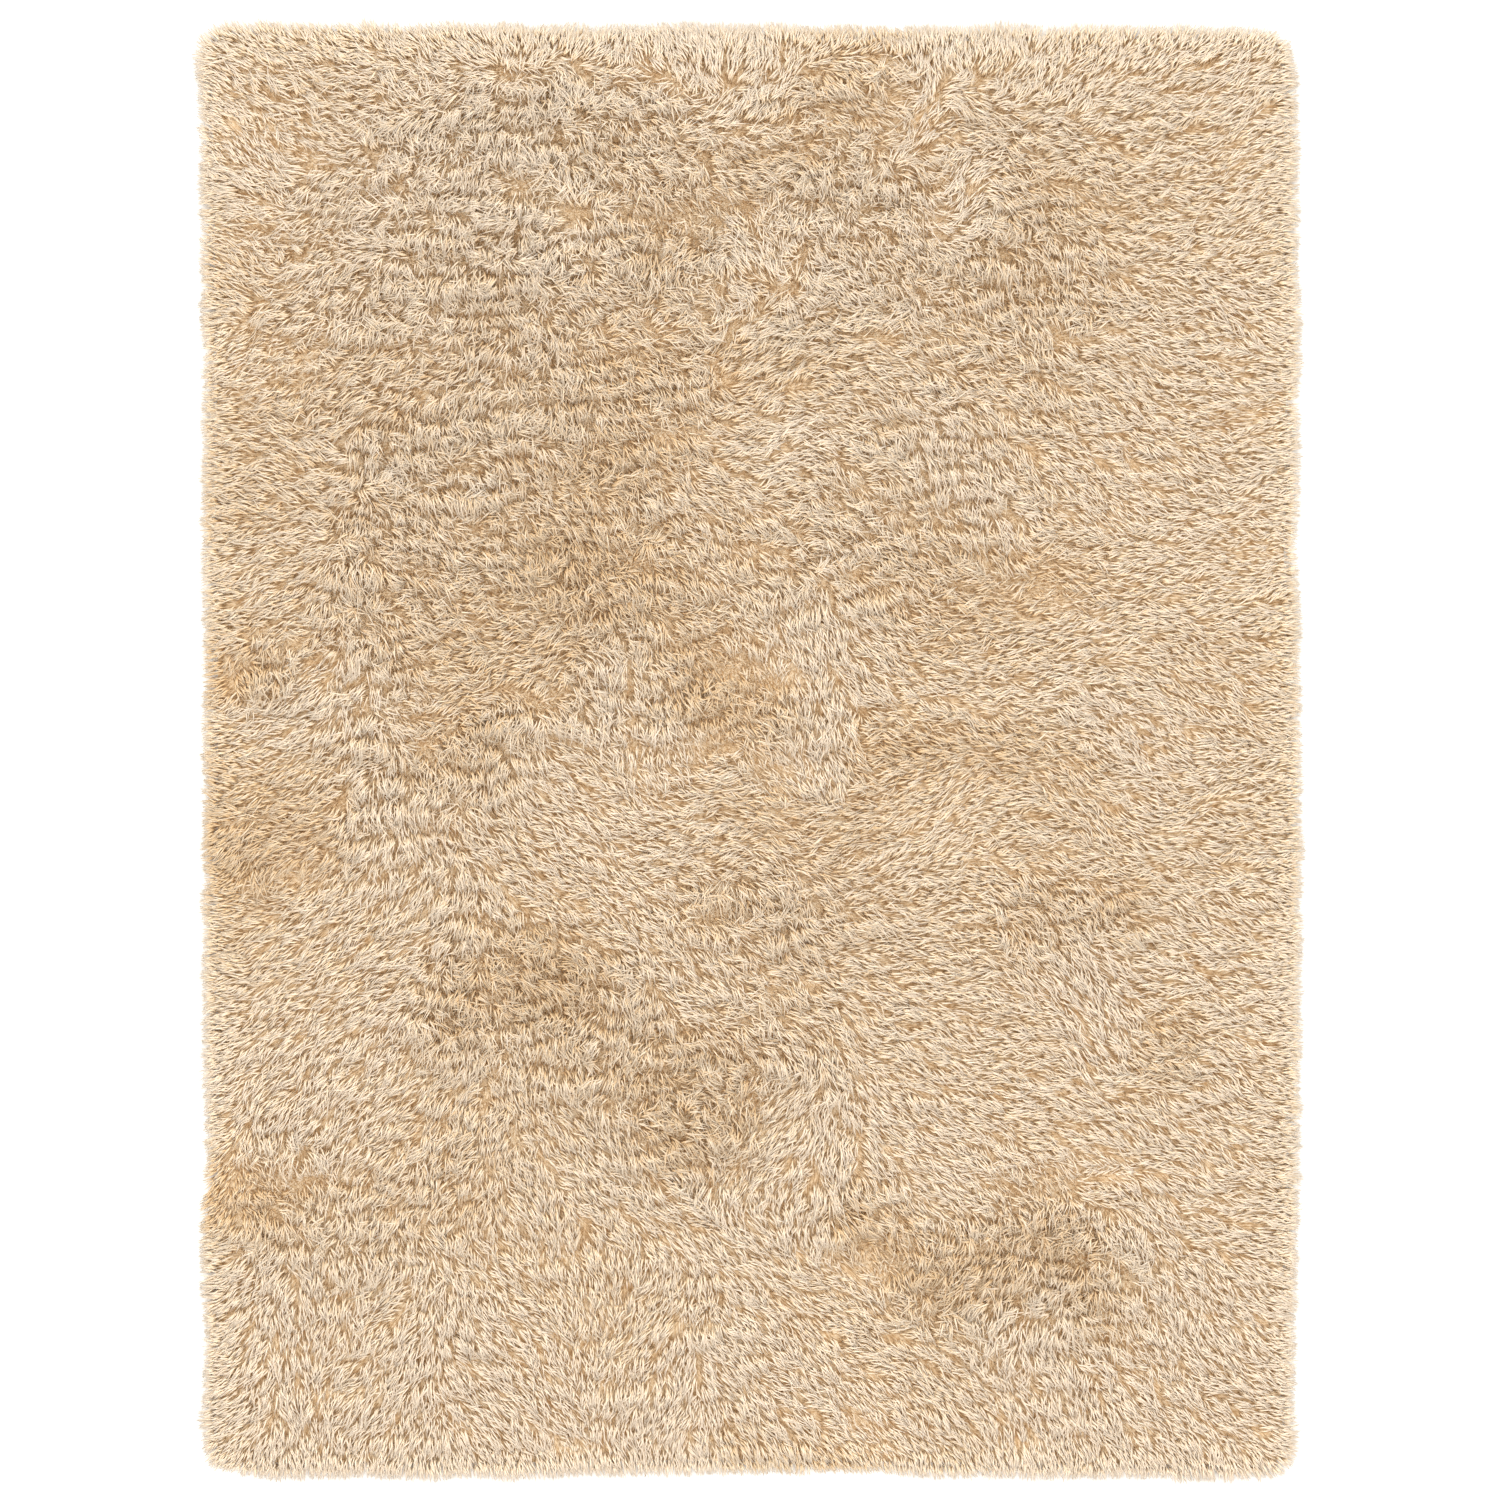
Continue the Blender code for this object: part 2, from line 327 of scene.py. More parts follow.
DEEPEST_PARTING = 0.012
STREAK_ALONG = 75.0         # how often its fibre streaks change in a metre
STREAK_ACROSS = 480.0
FIBRE_OFTEN = 300.0         # and its fibre ends, the bends in them, and its tufts
BEND_OFTEN = 45.0
TUFT_OFTEN = 28.0
FIBRE_BEND = 0.02
FIBRE_RELIEF = 0.003
PACKED_SHINE = 0.0
# Dark browns, painted shade of the deep pile seen in the gaps; the streaks in them are the fibres
PACKED_SHADE_COLOURS = (
    (0.46, (0.41, 0.245, 0.12)),
    (0.55, (0.64, 0.46, 0.28)),
    (0.65, (0.835, 0.685, 0.50)),
)

# The strokes that combed the pile: the middle of each, the way the strands' tips point in
# degrees from +X, its length and width, how flat it laid them, and how pale they look. Lengths
# are written in centimetres, and the last two in tenths
Stroke = namedtuple("Stroke", "x y heading length width lean pale")
STROKE_TABLE = (
    (-77, 101, 169, 7, 5, 7, 2),
    (-63, 101, 168, 9, 6, 5, 1),
    (-46, 102, 150, 7, 6, 4, 2),
    (-30, 101, 51, 7, 6, 4, 2),
    (-20, 101, 60, 9, 5, 5, 2),
    (-11, 99, 143, 10, 5, 7, 4),
    (-1, 99, 59, 12, 5, 6, 3),
    (9, 104, 147, 5, 4, 5, 1),
    (16, 100, 330, 5, 4, 5, -1),
    (15, 96, 346, 7, 4, 4, -1),
    (20, 102, 152, 6, 4, 5, 1),
    (25, 98, 76, 11, 3, 9, 4),
    (36, 99, 86, 10, 5, 6, 2),
    (45, 98, 52, 12, 6, 6, 2),
    (54, 99, 36, 12, 5, 6, 2),
    (63, 98, 29, 14, 5, 7, 3),
    (74, 100, 43, 13, 5, 8, 4),
    (-73, 91, 116, 14, 5, 8, 4),
    (-67, 93, 147, 10, 4, 6, 1),
    (-77, 80, 184, 6, 4, 7, 2),
    (-65, 75, 157, 9, 6, 5, 1),
    (-73, 68, 136, 12, 5, 7, 0),
    (-51, 79, 170, 21, 6, 2, 2),
    (-53, 67, 181, 18, 6, 2, 1),
    (-37, 87, 225, 15, 7, 1, 2),
    (-37, 66, 321, 16, 7, 1, 0),
    (-19, 89, 348, 8, 7, 1, 0),
    (-31, 81, 98, 8, 6, 3, 2),
    (-12, 90, 49, 8, 4, 4, 1),
    (-10, 79, 12, 12, 4, 2, -1),
    (2, 86, 35, 7, 4, 3, -1),
    (-10, 72, 203, 6, 4, 2, -1),
    (-3, 72, 124, 6, 4, 5, 2),
    (4, 69, 120, 7, 4, 5, 2),
    (11, 66, 23, 8, 4, 5, 1),
    (17, 78, 340, 9, 5, 1, 1),
    (20, 67, 342, 10, 5, 3, 1),
    (-17, 64, 12, 15, 5, 5, 0),
    (-21, 55, 19, 10, 5, 3, -2),
    (-12, 52, 331, 9, 4, 3, -1),
    (30, 79, 62, 8, 3, 9, 5),
    (37, 90, 340, 10, 4, 6, 0),
    (42, 82, 352, 12, 4, 4, -1),
    (31, 69, 357, 11, 5, 1, 0),
    (43, 69, 306, 10, 6, 2, -1),
    (56, 89, 2, 15, 4, 7, 1),
    (70, 93, 22, 21, 5, 8, 2),
    (72, 87, 21, 19, 5, 8, 2),
    (58, 78, 358, 15, 4, 6, 0),
    (71, 80, 27, 19, 4, 9, 2),
    (55, 68, 344, 12, 5, 6, 1),
    (70, 74, 16, 21, 4, 9, 2),
    (67, 65, 322, 13, 3, 9, 3),
    (76, 65, 355, 10, 3, 9, 2),
    (52, 60, 16, 12, 4, 7, 2),
    (64, 56, 337, 17, 4, 8, 2),
    (75, 56, 13, 11, 3, 9, 2),
    (58, 47, 333, 16, 5, 8, 2),
    (72, 48, 14, 15, 4, 9, 2),
    (56, 39, 333, 16, 5, 8, 2),
    (70, 37, 10, 21, 4, 9, 3),
    (64, 30, 1, 33, 4, 9, 2),
    (66, 22, 14, 29, 4, 9, 1),
    (2, 52, 30, 12, 4, 6, -1),
    (16, 52, 348, 11, 4, 6, 0),
    (22, 58, 0, 15, 4, 6, 0),
    (38, 56, 334, 15, 5, 6, 0),
    (-25, 37, 319, 8, 4, 6, -1),
    (-20, 43, 33, 8, 5, 0, -4),
    (-21, 25, 347, 12, 6, 1, -4),
    (-9, 42, 328, 16, 6, 7, 0),
    (4, 45, 22, 12, 4, 8, 4),
    (4, 37, 5, 10, 4, 5, 1),
    (16, 42, 324, 11, 4, 4, 0),
    (16, 34, 349, 11, 4, 4, 0),
    (30, 40, 302, 22, 4, 3, 3),
    (42, 42, 322, 16, 5, 7, 1),
    (-4, 27, 314, 13, 5, 6, 0),
    (9, 28, 18, 11, 4, 4, 0),
    (22, 25, 340, 13, 5, 4, -1),
    (39, 28, 346, 17, 4, 5, -2),
    (-11, 20, 339, 10, 4, 4, -1),
    (-74, 58, 222, 12, 5, 9, 1),
    (-75, 49, 162, 9, 4, 7, 0),
    (-58, 53, 187, 15, 5, 4, -1),
    (-35, 55, 160, 11, 6, 3, 0),
    (-42, 41, 8, 15, 7, 1, 0),
    (-69, 42, 169, 17, 5, 7, 0),
    (-76, 35, 178, 8, 3, 7, -1),
    (-73, 27, 195, 14, 5, 9, 1),
    (-66, 20, 201, 15, 5, 9, 0),
    (-49, 25, 19, 14, 6, 3, -1),
    (-74, 12, 16, 5, 4, 1, -4),
    (-63, 6, 208, 17, 5, 10, 4),
    (-58, 4, 238, 9, 4, 6, 4),
    (-54, 5, 346, 9, 3, 5, 1),
    (-44, 15, 13, 15, 5, 5, -2),
    (-40, 9, 37, 18, 6, 6, -2),
    (-40, -2, 230, 7, 5, 2, -1),
    (-16, 8, 289, 11, 5, 5, 2),
    (-3, 8, 348, 14, 5, 2, -4),
    (8, 9, 270, 21, 6, 8, 4),
    (20, 12, 328, 15, 5, 8, 1),
    (34, 21, 24, 16, 4, 6, -2),
    (40, 12, 15, 20, 5, 8, 1),
    (24, 0, 0, 13, 4, 6, -4),
    (39, 0, 354, 15, 4, 6, -2),
    (53, 3, 329, 12, 5, 6, 4),
    (64, 14, 329, 14, 4, 9, 1),
    (75, 13, 357, 11, 3, 9, 1),
    (66, 5, 331, 15, 4, 9, 1),
    (75, 5, 3, 11, 3, 9, 1),
    (70, -1, 0, 20, 4, 9, 2),
    (70, -8, 3, 20, 4, 9, 1),
    (-23, -6, 335, 16, 6, 8, 2),
    (-10, -9, 39, 13, 4, 8, 1),
    (2, -7, 347, 12, 4, 8, -2),
    (11, -11, 12, 9, 4, 7, -2),
    (-1, -15, 0, 14, 4, 7, 0),
    (-28, -16, 329, 22, 6, 9, 2),
    (3, -22, 4, 23, 5, 1, -1),
    (22, -7, 22, 19, 5, 9, 0),
    (26, -14, 28, 22, 5, 9, 1),
    (40, -8, 355, 7, 3, 8, -1),
    (48, -9, 320, 12, 4, 8, 1),
    (40, -15, 346, 10, 4, 7, 0),
    (57, -15, 358, 17, 4, 9, 1),
    (70, -16, 11, 10, 3, 9, 1),
    (47, -24, 6, 9, 5, 1, -3),
    (26, -23, 4, 12, 4, 8, 1),
    (23, -30, 354, 15, 4, 8, 1),
    (39, -25, 331, 8, 4, 4, -1),
    (47, -35, 285, 13, 5, 10, 7),
    (72, -24, 337, 19, 5, 9, 2),
    (68, -33, 348, 28, 5, 9, 3),
    (-9, -32, 326, 27, 6, 8, 2),
    (3, -31, 311, 13, 4, 6, 0),
    (-34, -33, 23, 16, 6, 1, -4),
    (-21, -41, 247, 9, 5, 3, -1),
    (-6, -45, 42, 18, 6, 1, -2),
    (-64, -2, 207, 11, 5, 8, -2),
    (-76, 0, 160, 7, 4, 8, -2),
    (-76, -8, 150, 8, 4, 8, -2),
    (-73, -15, 298, 5, 3, 2, -4),
    (-66, -14, 198, 10, 5, 6, -3),
    (-53, -12, 271, 12, 5, 5, 3),
    (-43, -17, 327, 14, 5, 6, 1),
    (-75, -21, 173, 10, 3, 9, -1),
    (-57, -25, 212, 24, 6, 9, 1),
    (-76, -29, 171, 9, 3, 9, 0),
    (-75, -38, 188, 10, 3, 9, 1),
    (-58, -39, 215, 25, 6, 8, 2),
    (-74, -46, 232, 15, 6, 9, 3),
    (-61, -50, 243, 12, 6, 7, 3),
    (-42, -48, 215, 16, 6, 8, 1),
    (-74, -64, 325, 6, 5, 1, -4),
    (-64, -65, 310, 10, 5, 3, 0),
    (-54, -66, 224, 11, 5, 5, 0),
    (-43, -60, 255, 13, 5, 5, -1),
    (-28, -54, 312, 20, 6, 5, 0),
    (-76, -73, 188, 7, 4, 8, 1),
    (-76, -82, 213, 9, 5, 8, 1),
    (-76, -93, 219, 9, 5, 8, 4),
    (-76, -102, 228, 8, 5, 8, 3),
    (-60, -76, 273, 12, 4, 6, 2),
    (-67, -91, 288, 26, 5, 9, 6),
    (-53, -85, 229, 16, 6, 8, 2),
    (-55, -100, 246, 13, 5, 7, 4),
    (-40, -76, 327, 16, 5, 9, 2),
    (-27, -73, 292, 14, 6, 8, 1),
    (-31, -97, 315, 24, 8, 9, 7),
    (-14, -65, 331, 25, 6, 8, 3),
    (-9, -56, 26, 12, 4, 1, -4),
    (1, -56, 223, 15, 5, 8, 1),
    (10, -60, 252, 15, 4, 8, 4),
    (0, -76, 318, 22, 6, 9, 3),
    (-14, -84, 239, 15, 6, 7, 1),
    (-11, -98, 277, 15, 5, 8, 6),
    (-1, -92, 306, 13, 4, 8, 4),
    (4, -102, 327, 13, 4, 5, -2),
    (7, -92, 329, 18, 5, 9, 4),
    (18, -84, 344, 25, 5, 8, 0),
    (19, -67, 307, 11, 4, 7, 0),
    (20, -71, 328, 15, 3, 1, -4),
    (28, -37, 352, 28, 5, 8, 1),
    (18, -44, 317, 10, 4, 6, 0),
    (33, -45, 349, 25, 6, 8, 2),
    (58, -44, 45, 9, 4, 3, -4),
    (48, -56, 346, 24, 5, 9, 2),
    (26, -58, 332, 21, 6, 9, 3),
    (56, -66, 337, 13, 5, 8, 3),
    (46, -71, 318, 18, 6, 0, -3),
    (35, -74, 197, 17, 5, 3, -3),
    (55, -74, 280, 11, 4, 5, 4),
    (64, -56, 320, 26, 6, 9, 3),
    (71, -44, 335, 14, 5, 9, 2),
    (76, -45, 359, 8, 3, 9, 2),
    (76, -53, 357, 8, 3, 9, 2),
    (76, -61, 359, 10, 4, 9, 2),
    (72, -67, 18, 17, 4, 9, 2),
    (64, -74, 310, 15, 5, 8, 4),
    (76, -74, 336, 10, 4, 9, 3),
    (61, -86, 267, 10, 4, 7, 4),
    (71, -86, 327, 21, 6, 9, 7),
    (40, -81, 218, 8, 4, 5, 3),
    (38, -94, 291, 15, 5, 8, 5),
    (50, -95, 306, 11, 5, 6, 5),
    (25, -89, 323, 16, 5, 8, 2),
    (26, -101, 319, 12, 5, 8, 2),
    (14, -102, 359, 6, 3, 4, -2),
    (48, -102, 279, 13, 4, 8, 2),
    (63, -99, 329, 18, 6, 9, 4),
    (72, -97, 335, 18, 6, 9, 6),
)
STROKES = [
    Stroke(x / 100, y / 100, heading, length / 100, width / 100, lean / 10, pale / 10)
    for x, y, heading, length, width, lean, pale in STROKE_TABLE
]

# Deep partings between rows: the two ends of each in centimetres, its width and its depth in
# millimetres
Parting = namedtuple("Parting", "x_from y_from x_to y_to width depth")
PARTING_TABLE = (
    (-76, 87, -60, 89, 20, 7),
    (-76, 74, -58, 76, 20, 6),
    (-76, 59, -61, 60, 22, 7),
    (-17, 78, 4, 79, 20, 9),
    (10, 89, 28, 91, 20, 8),
    (68, 48, 77, 51, 20, 9),
    (68, 30, 76, 29, 24, 8),
    (34, 26, 44, 23, 22, 10),
    (-6, 13, 4, 12, 22, 12),
    (-10, 2, -3, 2, 24, 10),
    (-62, 13, -50, 8, 20, 7),
    (-72, -20, -62, -17, 22, 8),
    (11, -74, 22, -73, 20, 12),
    (36, -63, 52, -60, 22, 10),
    (14, -95, 18, -101, 20, 10),
    (-74, -60, -64, -63, 22, 10),
)
PARTINGS = [
    Parting(x_from / 100, y_from / 100, x_to / 100, y_to / 100, width / 1000, depth / 1000)
    for x_from, y_from, x_to, y_to, width, depth in PARTING_TABLE
]

# How the rim wanders: a place along a side, and how far the rim stands out there
RIM_WAVES = {
    "left": (
        (-1.00, -0.84, -0.68, -0.58, -0.22, 0.15, 0.58, 0.87, 1.02),
        (0.010, 0.007, 0.014, 0.006, 0.009, 0.008, 0.010, 0.015, 0.018),
    ),
    "right": (
        (-0.99, -0.92, -0.64, -0.47, -0.15, 0.09, 0.32, 0.64, 0.70, 0.93, 1.02),
        (0.003, -0.001, 0.006, 0.008, 0.010, 0.008, 0.004, 0.010, 0.003, 0.005, -0.001),
    ),
    "bottom": (
        (-0.75, -0.40, -0.08, 0.07, 0.24, 0.65),
        (0.011, 0.012, 0.007, 0.007, 0.011, 0.015),
    ),
    "top": (
        (-0.66, -0.40, -0.22, -0.08, 0.36, 0.60, 0.75),
        (0.016, 0.013, 0.008, 0.012, 0.008, 0.012, 0.006),
    ),
}


def from_segment(x, y, x_from, y_from, x_to, y_to):
    """How far points are from a straight segment."""
    run_x, run_y = x_to - x_from, y_to - y_from
    share = ((x - x_from) * run_x + (y - y_from) * run_y) / (run_x ** 2 + run_y ** 2)
    share = np.clip(share, 0.0, 1.0)
    return np.hypot(x - x_from - share * run_x, y - y_from - share * run_y)


def combing(x, y):
    """The way the tips point at each point, as x and y, with how flat and how pale the pile is."""
    out_x, out_y = x / HALF_WIDTH ** 2, y / HALF_LENGTH ** 2
    size = np.hypot(out_x, out_y) + 1e-6
    weights = np.full_like(x, NO_STROKE)
    way_x, way_y = NO_STROKE * out_x / size, NO_STROKE * out_y / size
    lean, pale = NO_STROKE * SIDE_LEAN * np.ones_like(x), np.zeros_like(x)
    for stroke in STROKES:
        turn = math.radians(stroke.heading)
        half_x, half_y = math.cos(turn) * stroke.length / 2, math.sin(turn) * stroke.length / 2
        apart = from_segment(
            x, y, stroke.x - half_x, stroke.y - half_y, stroke.x + half_x, stroke.y + half_y
        )
        weight = np.exp(-((apart / stroke.width) ** 2))
        weights += weight
        way_x += weight * math.cos(turn)
        way_y += weight * math.sin(turn)
        lean += weight * stroke.lean
        pale += weight * stroke.pale
    way_x, way_y = way_x / weights, way_y / weights
    lean = lean / weights * np.clip(np.hypot(way_x, way_y) * AGREED, 0.0, 1.0)
    nap = NAP * (1 - lean) ** 2 * np.clip((HALF_LENGTH - y) / NAP_FROM, 0.0, 1.0)
    return way_x, way_y - nap, lean, pale / weights


def wandering(x, y):
    """How far the pile's heading wanders from the strokes at each point, in radians."""
    turns = []
    for point_x, point_y in zip(x, y):
        place = Vector((point_x, point_y, 0.0)) / WANDER_SPAN
        finer = FINER_TURN * noise.noise(place * FINER_WANDER)
        turns.append(WANDER_TURN * (noise.noise(place) + finer))
    return np.array(turns)


def parting_depth(x, y):
    """How deep the partings cut at each point."""
    depth = np.zeros_like(x)
    for parting in PARTINGS:
        apart = from_segment(x, y, parting.x_from, parting.y_from, parting.x_to, parting.y_to)
        depth = np.maximum(depth, parting.depth * np.exp(-((apart / parting.width) ** 2)))
    return depth


def tuft_rise(x, y):
    """The lumps of the tufts at each point, in rows that wander."""
    rises = []
    for point_x, point_y in zip(x, y):
        place = Vector((point_x, point_y, 0.0)) / TUFT_BEND_SPAN
        bend_x, bend_y = [
            TUFT_BEND * noise.noise(place + Vector((0.0, 0.0, layer))) for layer in TUFT_BEND_LAYERS
        ]
        bent = Vector(((point_x + bend_x) / TUFT_ACROSS, (point_y + bend_y) / TUFT_ALONG, 0.5))
        rises.append(TUFT_RISE * noise.noise(bent))
    return np.array(rises)


def wandering_outline(x, y):
    """Moves points of a square-cornered rectangle to the rug's outline, with its round corners."""
    over_x = np.maximum(np.abs(x) - (HALF_WIDTH - CORNER_RADIUS), 0.0)
    over_y = np.maximum(np.abs(y) - (HALF_LENGTH - CORNER_RADIUS), 0.0)
    shrink = np.maximum(over_x, over_y) / np.maximum(np.hypot(over_x, over_y), 1e-9)
    in_corner = (over_x > 0) & (over_y > 0)
    x = x - np.where(in_corner, np.sign(x) * over_x * (1 - shrink), 0.0)
    y = y - np.where(in_corner, np.sign(y) * over_y * (1 - shrink), 0.0)
    side = np.where(x > 0, np.interp(y, *RIM_WAVES["right"]), np.interp(y, *RIM_WAVES["left"]))
    end = np.where(y > 0, np.interp(x, *RIM_WAVES["top"]), np.interp(x, *RIM_WAVES["bottom"]))
    near_side = (np.abs(x) / HALF_WIDTH) ** RIM_POWER
    near_end = (np.abs(y) / HALF_LENGTH) ** RIM_POWER
    return x + np.sign(x) * side * near_side, y + np.sign(y) * end * near_end


def packed_pile_mesh():
    """The closed lumpy slab, with the combing written on its points."""
    across = round(2 * HALF_WIDTH / CELL)
    along = round(2 * HALF_LENGTH / CELL)
    number = np.arange((across + 1) * (along + 1)).reshape(along + 1, across + 1)
    corners = number[:-1, :-1], number[:-1, 1:], number[1:, 1:], number[1:, :-1]
    faces = np.stack([corner.ravel() for corner in corners], axis=1).tolist()
    edge = [
        *number[0, :-1].tolist(),
        *number[:-1, -1].tolist(),
        *number[-1, :0:-1].tolist(),
        *number[:0:-1, 0].tolist(),
    ]
    x = np.tile(np.linspace(-HALF_WIDTH, HALF_WIDTH, across + 1), along + 1)
    y = np.repeat(np.linspace(-HALF_LENGTH, HALF_LENGTH, along + 1), across + 1)
    x, y = np.append(x, x[edge]), np.append(y, y[edge])
    low = np.arange(len(x)) >= number.size
    inside = np.minimum(HALF_WIDTH - np.abs(x), HALF_LENGTH - np.abs(y))
    way_x, way_y, lean, pale = combing(x, y)
    spread = combing(x + SPREAD_STEP, y)[0] - way_x + combing(x, y + SPREAD_STEP)[1] - way_y
    spread = np.clip(spread / SPREAD_STEP * SPREAD_REACH, *SPREAD_LIMITS)
    lean = lean * (1 - SPREAD_STANDS * np.maximum(spread, 0.0))
    turn = wandering(x, y)
    way_x, way_y = (
        way_x * np.cos(turn) - way_y * np.sin(turn),
        way_x * np.sin(turn) + way_y * np.cos(turn),
    )
    full = PILE_MEAN + UPRIGHT_RISE * (1 - 2 * lean) + tuft_rise(x, y) - parting_depth(x, y)
    rounding = np.sqrt(1 - (1 - np.clip(inside / RIM_FALL, 0.0, 1.0)) ** 2)
    height = (PACKED_SHARE + LAID_SHARE * lean) * (RIM_HEIGHT + (full - RIM_HEIGHT) * rounding)
    height[low] = CLOTH_THICK * CLOTH_BITE
    tuft = tuft_rise(x, y) / TUFT_RISE
    crest_x = (tuft_rise(x + CREST_STEP, y) / TUFT_RISE - tuft) / CREST_STEP * CREST_PULL
    crest_y = (tuft_rise(x, y + CREST_STEP) / TUFT_RISE - tuft) / CREST_STEP * CREST_PULL
    side_pull = np.clip(1 - (HALF_WIDTH - np.abs(x)) / OUTWARD_FROM, 0.0, 1.0) * np.sign(x)
    end_pull = np.clip(1 - (HALF_LENGTH - np.abs(y)) / OUTWARD_FROM, 0.0, 1.0) * np.sign(y)
    rim_share = np.clip(1 - inside / OUTWARD_FROM, 0.0, 1.0)
    combed = 1 - OUTWARD_SHARE * rim_share
    way_x = way_x * combed + side_pull * np.where(x > 0, *OUTWARD_SIDES)
    way_y = way_y * combed + end_pull * np.where(y > 0, *OUTWARD_ENDS)
    laid = np.where(end_pull > 0, TOP_LEAN, RIM_LEAN)
    lean = lean + (laid - lean) * rim_share

    points = np.column_stack((*wandering_outline(x, y), height)).tolist()
    mesh = closed_slab("packed_pile", points, faces, edge, np.flatnonzero(low).tolist())
    marks = {
        "heading_x": way_x,
        "heading_y": way_y,
        "lean": lean,
        "pale": pale,
        "spread": spread,
        "rim": rim_share,
        "tuft": tuft,
        "crest_x": crest_x,
        "crest_y": crest_y,
        "parting": parting_depth(x, y) / DEEPEST_PARTING,
    }
    for name, values in marks.items():
        mesh.attributes.new(name, "FLOAT", "POINT").data.foreach_set("value", values)
    underside = [face.normal.z < -0.5 for face in mesh.polygons]
    mesh.attributes.new("bare", "BOOLEAN", "FACE").data.foreach_set("value", underside)
    mesh.shade_smooth()
    return mesh


def join_up(tree, x, y, z):
    """The vector of three numbers."""
    return add_node(tree, "ShaderNodeCombineXYZ", {"X": x, "Y": y, "Z": z}).outputs[0]


def packed_fibre():
    """Fine crossing fibres seen from their cut ends, painted brown as the shade in the gaps between
    the tufts.
    """
    material, tree, shader = plain_material("packed_fibre", PACKED_SHINE)
    place = add_node(tree, "ShaderNodeTexCoord", {}).outputs["Object"]
    wander = speckle(tree, place, BEND_OFTEN, 2.0, output="Color")
    bent = add_node(
        tree, "ShaderNodeVectorMath", {0: wander, "Scale": FIBRE_BEND}, operation="SCALE"
    )
    moved = add_node(tree, "ShaderNodeVectorMath", {0: place, 1: bent.outputs[0]}, operation="ADD")
    fibres = speckle(tree, moved.outputs[0], FIBRE_OFTEN, 3.0, 1.5)
    tufts = speckle(tree, place, TUFT_OFTEN, 2.0)

    # Streaks along the way the pile lies, blended from four ways an eighth of a turn apart
    heading_x, heading_y, lean = [
        Field(tree, add_node(tree, "ShaderNodeAttribute", {}, attribute_name=name).outputs["Fac"])
        for name in ("heading_x", "heading_y", "lean")
    ]
    x, y = split_up(tree, place)[:2]
    size = heading_x * heading_x + heading_y * heading_y + 1e-4
    twice_x = (heading_x * heading_x - heading_y * heading_y) / size
    twice_y = heading_x * heading_y * 2.0 / size
    streaks = fibres * lean.rest()
    for eighth in range(4):
        turn = eighth * math.pi / 4
        along = x * math.cos(turn) + y * math.sin(turn)
        across = y * math.cos(turn) - x * math.sin(turn)
        lined = join_up(tree, along * STREAK_ALONG, across * STREAK_ACROSS, float(eighth))
        lines = speckle(tree, lined, 1.0, 3.0, 0.4)
        match = (twice_x * math.cos(2 * turn) + twice_y * math.sin(2 * turn)).step("MAXIMUM", 0.0)
        streaks = streaks + lines * match * match * lean
    colour = colour_ramp(tree, streaks * 0.9 + tufts * 0.2, PACKED_SHADE_COLOURS)
    feed(tree, shader.inputs["Base Color"], colour)
    feed(tree, shader.inputs["Roughness"], tufts * 0.2 + 0.7)
    raise_bump(tree, shader, streaks, FIBRE_RELIEF, 1.0)
    return material


packed_pile = bpy.data.objects.new("packed_pile", packed_pile_mesh())
bpy.context.scene.collection.objects.link(packed_pile)
packed_pile.data.materials.append(packed_fibre())
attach(packed_pile, "root")
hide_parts("shag_rug")


# ---------------------------------------------------------------------------------------------
# The long strands: silky tapered polyester strands, tufted through the ground in small clumps
# that lean together. They grow in five bands across the rug, so that no piece gets too heavy.

STRANDS_PER_SQUARE_METRE = 44500.0
STRAND_LENGTH = 0.031
STRAND_WIDTH = 0.0034
STRAND_SHINE = 0.04
STRAND_RELIEF = 0.0006
SHADES = 64
SHADE_EDGE = 0.05           # what is left free at each side of a shade's column
# Cream at the tip, painted darker and browner toward the root as the shade deep in the pile
SHADED_ROOT_TO_TIP = (
    (0.05, (0.755, 0.49, 0.245)),
    (0.30, (0.89, 0.727, 0.515)),
    (0.58, (0.93, 0.838, 0.72)),
    (0.95, (0.93, 0.845, 0.75)),
)
TINTS = ((0.0, (1.0, 0.96, 0.91)), (0.5, (1.0, 0.98, 0.94)), (1.0, (1.0, 0.97, 0.96)))
# A strand's tone by its shade mark: random, with painted light and shade over tufts and ruffles
DARK_TO_PALE = ((0.0, (0.85, 0.76, 0.64)), (0.5, (0.95, 0.922, 0.88)), (1.0, (0.97, 0.96, 0.955)))


def multiplied(tree, colour, other):
    """Two colours multiplied."""
    entries = {0: 1.0, 6: colour, 7: other}
    node = add_node(tree, "ShaderNodeMix", entries, data_type="RGBA", blend_type="MULTIPLY")
    return node.outputs[2]


